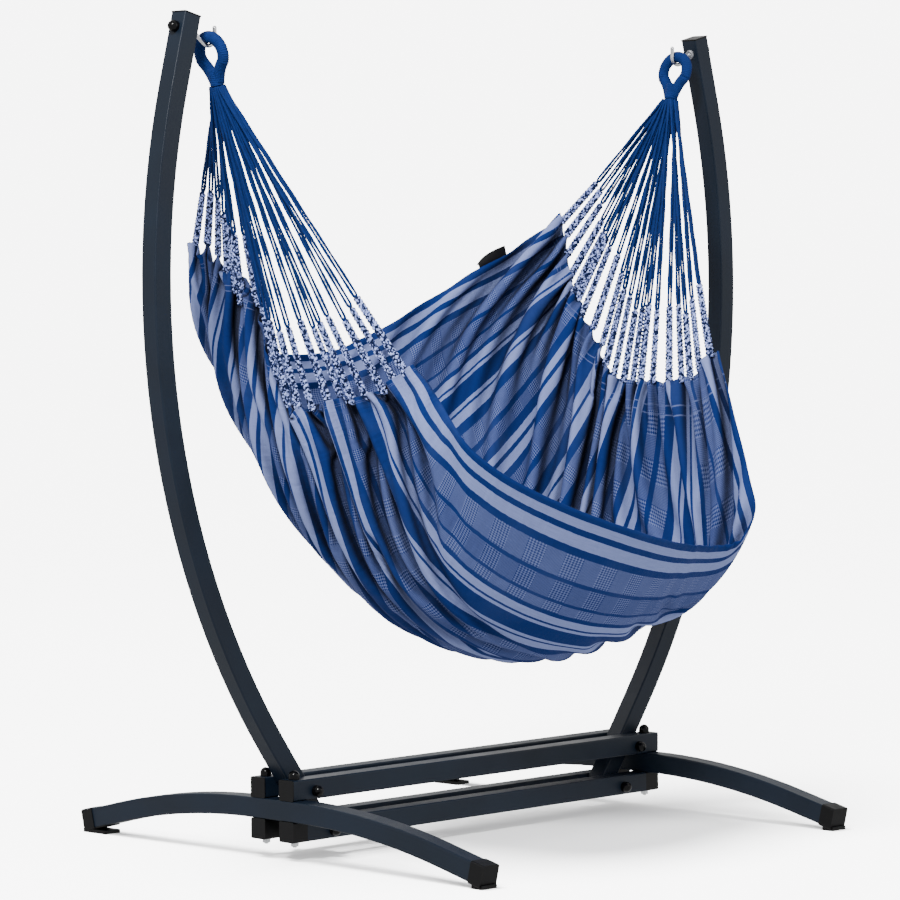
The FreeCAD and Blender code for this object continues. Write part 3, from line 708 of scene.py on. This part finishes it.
def plait_strands(foot, top, k):
    """The rings of a braid's three strands."""
    along = unit(top - foot)
    across = unit(np.cross(along, (0.9, -0.3, 0.1)))
    if k % 2:
        across = unit(across + 0.5 * np.cross(along, across))
    out = np.cross(along, across)
    length = np.linalg.norm(top - foot)
    s = np.linspace(-BRAID_TUCK, length, max(8, int(length / BRAID_STEP)))
    thick = np.clip(1.15 - 0.25 * s / length, 0.8, 1.2)[:, None]
    for strand in range(3):
        phase = 2 * math.pi * (s / PLAIT_PITCH + strand / 3) + 2.3 * k * k
        path = foot + along * s[:, None]
        path = path + across * (BRAID_HALF_WIDTH * np.sin(phase))[:, None] * thick
        path = path + out * (BRAID_HALF_DEPTH * np.sin(2 * phase))[:, None] * thick
        yield swept_rings(path, strand_radius, BRAID_SIDES, across)


def make_braids(side_name, feet, tops, materials):
    """Flat three-strand plaits from the cloth's end up to the cords."""
    points, faces, which = [], [], []
    for k, (foot, top) in enumerate(zip(feet, tops)):
        for strand, rings in enumerate(plait_strands(foot, top, k)):
            added = add_tube(points, faces, rings, BRAID_SIDES)
            which.extend([strand] * added)
    braids = mesh_object(side_name + "_plaits", points, faces)
    for material in materials:
        braids.data.materials.append(material)
    braids.data.polygons.foreach_set("material_index", which)
    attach(braids, "hammock")
    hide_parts(side_name + "_braids")


def eye_centre_line(side):
    """A teardrop round the hook's wire that closes inside the collar."""
    centre_z = SEAT_Z - EYE_LOOP_R
    angles = np.linspace(-math.pi * 0.15, math.pi * 1.15, 60)
    loop = [(EYE_LOOP_R * math.cos(a), centre_z + EYE_LOOP_R * math.sin(a)) for a in angles]
    throat = [(EYE_THROAT_HALF + 0.004, EYE_THROAT_Z), (0.020, EYE_THROAT_Z + 0.028)]
    line = throat + loop + [(-y, z) for y, z in reversed(throat)]
    return np.array([tilted(side, SEAT_X, y, z) for y, z in line])


def wound_radius(angle, reach):
    """The eye's tube under turns of cord."""
    ridge = np.abs(np.sin(math.pi * (reach / WINDING_PITCH + 0.12 * angle)))
    return EYE_TUBE_R * (0.88 + 0.12 * ridge)


def collar_radius(angle, reach):
    """The collar under turns of cord, rounded off at both ends."""
    end = np.minimum(reach, COLLAR_TOP_Z - COLLAR_BOTTOM_Z - reach)
    ridge = np.abs(np.sin(math.pi * (reach / COLLAR_WINDING_PITCH + angle / (2 * math.pi))))
    rounded = 0.004 * np.clip(1 - end / COLLAR_ROUNDING, 0, 1) ** 2
    return COLLAR_R * (0.93 + 0.07 * ridge) - rounded


def make_eye(side_name, side, material):
    """A loop of rope bound with cord, and the bound collar where its two legs meet."""
    points, faces = [], []
    sides = 40
    loop, _ = evened(through(eye_centre_line(side), 260), 0.0011)
    add_tube(points, faces, swept_rings(loop, wound_radius, sides, (side, 0, 0)), sides)
    top = tilted(side, SEAT_X, 0, COLLAR_TOP_Z)
    bottom = tilted(side, SEAT_X, 0, COLLAR_BOTTOM_Z)
    collar = spaced([top, bottom], np.linspace(0, 1, 44))
    add_tube(points, faces, swept_rings(collar, collar_radius, sides, (side, 0, 0)), sides)
    eye = mesh_object(side_name + "_wound_eye", points, faces, material)
    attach(eye, "hammock")
    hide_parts(side_name + "_eye")


# ---- cloth ---------------------------------------------------------------------------------------
def blurred(values, reach):
    """A moving average over a grid, with the edges held."""
    for axis in (0, 1):
        pads = [(0, 0)] * 3
        pads[axis] = (reach + 1, reach)
        total = np.cumsum(np.pad(values, pads, mode="edge"), axis=axis)
        size = 2 * reach + 1
        high = np.take(total, range(size, total.shape[axis]), axis=axis)
        low = np.take(total, range(0, total.shape[axis] - size), axis=axis)
        values = (high - low) / size
    return values


def pull(cloth, free, link_a, link_b, rest, stiffness, only_short=False):
    """Moves two sets of points towards their rest distance. A point whose free is 0 stays."""
    a, b = cloth[link_a], cloth[link_b]
    gap = b - a
    length = np.sqrt((gap * gap).sum(-1))
    stretch = (length - rest) / np.maximum(length, 1e-9)
    if only_short:
        stretch = np.minimum(stretch, 0)
    free_a, free_b = free[link_a], free[link_b]
    total = np.maximum(free_a + free_b, 1e-9)
    push = gap * (stiffness * stretch / total)[..., None]
    cloth[link_a] = a + push * free_a[..., None]
    cloth[link_b] = b - push * free_b[..., None]


def links(step, start, count, axis):
    """Index pairs along one axis of the grid that don't share points."""
    first = np.arange(start, count - step, 2 * step)
    first = np.concatenate([first + k for k in range(step)]) if step > 1 else first
    first = first[first + step < count]
    if axis == 0:
        return (first, slice(None)), (first + step, slice(None))
    return (slice(None), first), (slice(None), first + step)


def keep_lengths(cloth, free, rest_u, rest_v):
    """Holds every thread of the grid to its length, both ways."""
    count_u, count_v = cloth.shape[:2]
    for start in (0, 1):
        a, b = links(1, start, count_u, 0)
        pull(cloth, free, a, b, rest_u[a[0]], 1.0)
        a, b = links(1, start, count_v, 1)
        pull(cloth, free, a, b, rest_v[:, a[1]], 1.0)


def resist_shear(cloth, free, diagonal):
    """Keeps the grid's squares from leaning."""
    count_u, count_v = cloth.shape[:2]
    for start in (0, 1):
        rows = np.arange(start, count_u - 1, 2)[:, None]
        low = np.arange(count_v - 1)[None, :]
        for shift in (0, 1):
            ends = (rows, low + shift), (rows + 1, low + 1 - shift)
            pull(cloth, free, *ends, diagonal[rows, low], SHEAR_STIFFNESS)


def resist_bending(cloth, free, rest_u, rest_v):
    """Pushes points apart that are two links from each other once the cloth folds sharply."""
    count_u, count_v = cloth.shape[:2]
    for start in (0, 2):
        a, b = links(2, start, count_u, 0)
        pull(cloth, free, a, b, 2 * rest_u[a[0]], BEND_STIFFNESS, only_short=True)
        a, b = links(2, start, count_v, 1)
        rest = 2 * rest_v[:, np.minimum(a[1], count_v - 2)]
        pull(cloth, free, a, b, rest, BEND_STIFFNESS, only_short=True)


def settle(cloth, target, rest_u, rest_v, free, steps, fall, reach):
    """Lets a grid of cloth settle. Links keep their lengths, and the slow shape stays near the target."""
    diagonal = np.sqrt(rest_u[:, :-1] ** 2 + rest_v[:-1] ** 2)
    before = cloth.copy()
    for _ in range(steps):
        speed = (cloth - before) * MOMENTUM
        before = cloth.copy()
        cloth = cloth + (speed + (0, 0, -fall)) * free[..., None]
        cloth = cloth + HOLD * blurred(blurred(target - cloth, reach), reach) * free[..., None]
        for _ in range(2):
            keep_lengths(cloth, free, rest_u, rest_v)
        resist_shear(cloth, free, diagonal)
        resist_bending(cloth, free, rest_u, rest_v)
    return cloth


def surface_normals(grid):
    """The direction straight out of the surface at each point of a grid."""
    du = np.gradient(grid, axis=0)
    dv = np.gradient(grid, axis=1)
    return unit(np.cross(du, dv))


def end_distance(count_u):
    """Distance from the nearer end, for each row of the grid."""
    share = np.linspace(0, 1, count_u)
    return np.minimum(share, 1 - share) * CLOTH_LENGTH


def pleated(target, heights):
    """The target surface with a pleat for each braid, fading out away from the gathered ends."""
    count_u, count_v = target.shape[:2]
    share = np.linspace(0, 1, count_v)
    wave = np.cos(2 * math.pi * CORD_PAIRS * share)
    pleat = np.rint(share * CORD_PAIRS).astype(int)
    fade = np.exp(-end_distance(count_u) / PLEAT_REACH)
    left = (np.arange(count_u) < count_u / 2)[:, None]
    height = np.where(left, heights[0][pleat], heights[1][pleat])
    lift = PLEAT_HEIGHT * fade[:, None] * wave[None, :] * height
    return target - surface_normals(target) * lift[..., None]


def draped_cloth():
    """The sling's middle surface, from the left end to the right end and from rear edge to front edge."""
    ends = ((LEFT_END, LEFT_ROOM), (RIGHT_END, RIGHT_ROOM))
    places = np.linspace(0, CORD_PAIRS, len(SECTIONS[0]))
    left, right = (along_end(end, room, places) for end, room in ends)
    control = np.array([left] + [np.array(row) for row in SECTIONS] + [right])
    middles = np.arange(CORD_PAIRS) + 0.5
    feet = [along_end(end, room, middles) for end, room in ends]
    heights = np.random.default_rng(7).uniform(*PLEAT_UNEVENNESS, (2, CORD_PAIRS + 1))
    cloth = None
    for count_u, count_v, steps in SETTLE_LEVELS:
        target = through_grid(control, count_u, count_v)
        rest_u = np.linalg.norm(np.diff(target, axis=0), axis=2) * ROW_TIGHTNESS
        rest_v = np.full((count_u, count_v - 1), CLOTH_WIDTH / (count_v - 1))
        if cloth is None:
            cloth = pleated(target, heights)
        else:
            cloth = through_grid(cloth, count_u, count_v)
        every = (count_v - 1) // CORD_PAIRS
        pins = np.arange(CORD_PAIRS) * every + every // 2
        free = np.ones((count_u, count_v))
        for row, held in ((0, feet[0]), (-1, feet[1])):
            free[row, pins] = 0
            cloth[row, pins] = held
        reach = max(1, (count_v - 1) // 16)
        cloth = settle(cloth, target, rest_u, rest_v, free, steps, FALL / (count_v - 1), reach)
    return cloth


def thickened(middle, half):
    """Points and faces of a sheet with this middle surface and half thickness."""
    count_u, count_v = middle.shape[:2]
    normal = surface_normals(middle)
    skins = [middle + normal * half[..., None], middle - normal * half[..., None]]
    points = np.concatenate([skin.reshape(-1, 3) for skin in skins])
    size = count_u * count_v
    index = np.arange(size).reshape(count_u, count_v)
    corners = [index[:-1, :-1], index[1:, :-1], index[1:, 1:], index[:-1, 1:]]
    quads = np.stack(corners, -1).reshape(-1, 4)
    faces = quads.tolist() + (quads[:, ::-1] + size).tolist()
    rim = np.concatenate([index[0, :], index[1:, -1], index[-1, -2::-1], index[-2::-1, 0]])
    faces += [(a, b, b + size, a + size) for a, b in zip(rim[:-1], rim[1:])]
    return points, faces


def make_sling(middle, material):
    """The cloth, with a hem all round and its flat coordinates kept for the weave."""
    along = np.linspace(0, CLOTH_LENGTH, CLOTH_ROWS)
    across = np.linspace(0, CLOTH_WIDTH, CLOTH_COLUMNS)
    edge_v = np.minimum(across, CLOTH_WIDTH - across)[None, :]
    edge_u = np.minimum(along, CLOTH_LENGTH - along)[:, None]
    hem_v, hem_u = (np.clip(1.4 - edge / HEM_WIDTH, 0, 1) for edge in (edge_v, edge_u))
    rounded = np.sqrt(np.clip(np.minimum(edge_v, edge_u) / 0.004 + 0.25, 0.25, 1))
    extra = (HEM_HALF_THICKNESS - CLOTH_HALF_THICKNESS) * np.maximum(hem_v, hem_u)
    points, faces = thickened(middle, (CLOTH_HALF_THICKNESS + extra) * rounded)
    sling = mesh_object("sling_cloth_sheet", points, faces, material)
    flat = np.zeros((CLOTH_ROWS, CLOTH_COLUMNS, 3))
    flat[..., 0] = along[:, None]
    flat[..., 1] = across[None, :]
    layer = sling.data.attributes.new("cloth", "FLOAT_VECTOR", "POINT")
    layer.data.foreach_set("vector", np.concatenate([flat.reshape(-1), flat.reshape(-1)]))
    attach(sling, "hammock")
    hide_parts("sling")


def make_label(middle, material):
    """A blank tag sewn behind the rear hem. It stands up at its right end and leans back at its left."""
    edge = middle[:, 0]
    reach = distances(edge)
    share = np.linspace(0, 1, 25)
    places = np.interp(LABEL_X, edge[:, 0], reach) + (share - 0.5) * LABEL_WIDTH
    behind = unit(looked_up(places, reach, surface_normals(middle)[:, 0]))
    behind = behind * np.sign(behind[:, 1].mean())
    up = unit(looked_up(places, reach, edge - middle[:, 3]).mean(axis=0))
    seam = looked_up(places, reach, edge) + behind * (HEM_HALF_THICKNESS + LABEL_THICKNESS)
    lean = LABEL_LEAN * (1 - share)[:, None] ** 1.3
    rows = []
    for rise in np.linspace(-LABEL_TUCK, LABEL_HEIGHT, 13):
        above = max(rise, 0)
        turned = lean * above / LABEL_HEIGHT
        rows.append(seam + up * rise * np.cos(turned) + behind * above * np.sin(turned))
    sheet = np.stack(rows, axis=1)
    half = np.full(sheet.shape[:2], LABEL_THICKNESS / 2)
    label = mesh_object("blank_label", *thickened(sheet, half), material)
    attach(label, "hammock")
    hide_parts("label_tag")


# ---- CAD nodes that stay -------------------------------------------------------------------------
def paint_cad_nodes():
    looks = {
        "frame_tube": powder_coat(),
        "black_plastic": moulded_plastic("cap_plastic", 0.38, 500.0),
        "gloss_plastic": moulded_plastic("dome_plastic", 0.16, 200.0),
        "shoe_rubber": moulded_plastic("shoe_rubber_look", 0.5, 700.0),
        "zinc_steel": zinc("zinc_plate", 0.3),
        "hook_steel": zinc("hook_zinc", 0.22),
    }
    slots = {part["node"]: part["material_slot"] for part in frame["record"]["subparts"]}
    for name, node in frame["nodes"].items():
        look = looks.get(slots.get(name))
        if look:
            node.data.materials.clear()
            node.data.materials.append(look)


def make_end(side_name, side, end, room, cord_look, strands, eye_look):
    """The cords, braids and eye at one end of the hammock."""
    throat = tilted(side, SEAT_X, 0, COLLAR_BOTTOM_Z)
    feet = along_end(end, room, np.arange(CORD_PAIRS) + 0.5)
    tops = []
    for k, foot in enumerate(feet):
        top, along = braid_line(foot, throat, k)
        make_cord(side_name, side, k, top, along, cord_look)
        tops.append(top)
    make_braids(side_name, feet, tops, strands)
    make_eye(side_name, side, eye_look)


def main():
    make_camera()
    make_studio()
    cord_look = yarn("cord_yarn_look", CORD_BLUE, 0.55, 1.5)
    eye_look = yarn("eye_yarn_look", CORD_BLUE, 0.6, 1.5)
    shares = (("mixed_strand", 0.5), ("pale_strand", 0.75), ("dark_strand", 0.25))
    strands = [plait_yarn(name, white_share) for name, white_share in shares]
    make_end("left", -1, LEFT_END, LEFT_ROOM, cord_look, strands, eye_look)
    make_end("right", 1, RIGHT_END, RIGHT_ROOM, cord_look, strands, eye_look)
    sling_look = woven_cloth()
    label_look = yarn("label_weave", LABEL_BLACK, 0.6, 1.8)
    middle = through_grid(draped_cloth(), CLOTH_ROWS, CLOTH_COLUMNS)
    make_sling(middle, sling_look)
    make_label(middle, label_look)
    paint_cad_nodes()


main()
